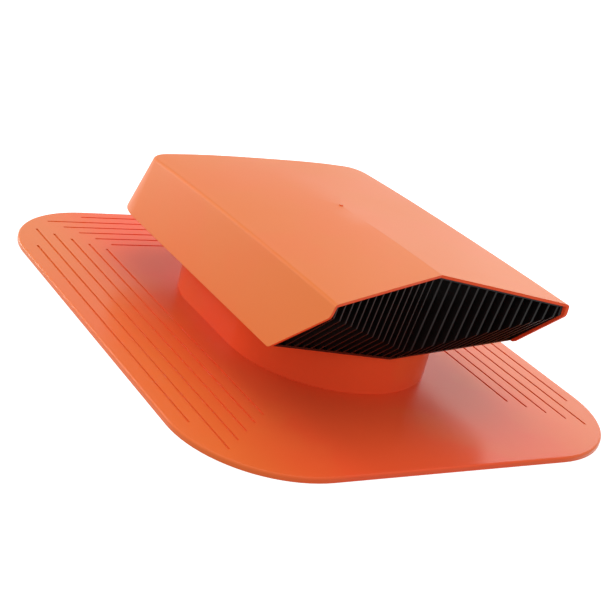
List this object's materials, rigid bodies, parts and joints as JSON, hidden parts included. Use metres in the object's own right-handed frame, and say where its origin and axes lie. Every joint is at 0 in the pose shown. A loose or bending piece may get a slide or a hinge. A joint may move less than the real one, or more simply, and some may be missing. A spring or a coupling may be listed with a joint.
{
  "type": "roof shingle vent",
  "caption": "Roof shingle vent with a round-cornered flange, an upright collar and a low hood with a slatted mouth.",
  "frame": {"origin": "centre of the flange's underside, the face that lies on the roof", "axes": "+Z out of the roof, +Y up the roof slope towards the hood's closed back, -Y down the slope towards the open mouth, X across"},
  "size_m": [0.308, 0.371, 0.0958],
  "materials": {
    "orange_plastic": "satin moulded",
    "black_plastic": "satin moulded"
  },
  "bodies": {
    "root": {"flange_base": "orange_plastic", "hood": "orange_plastic", "grille_insert": "black_plastic"}
  },
  "joints": []
}
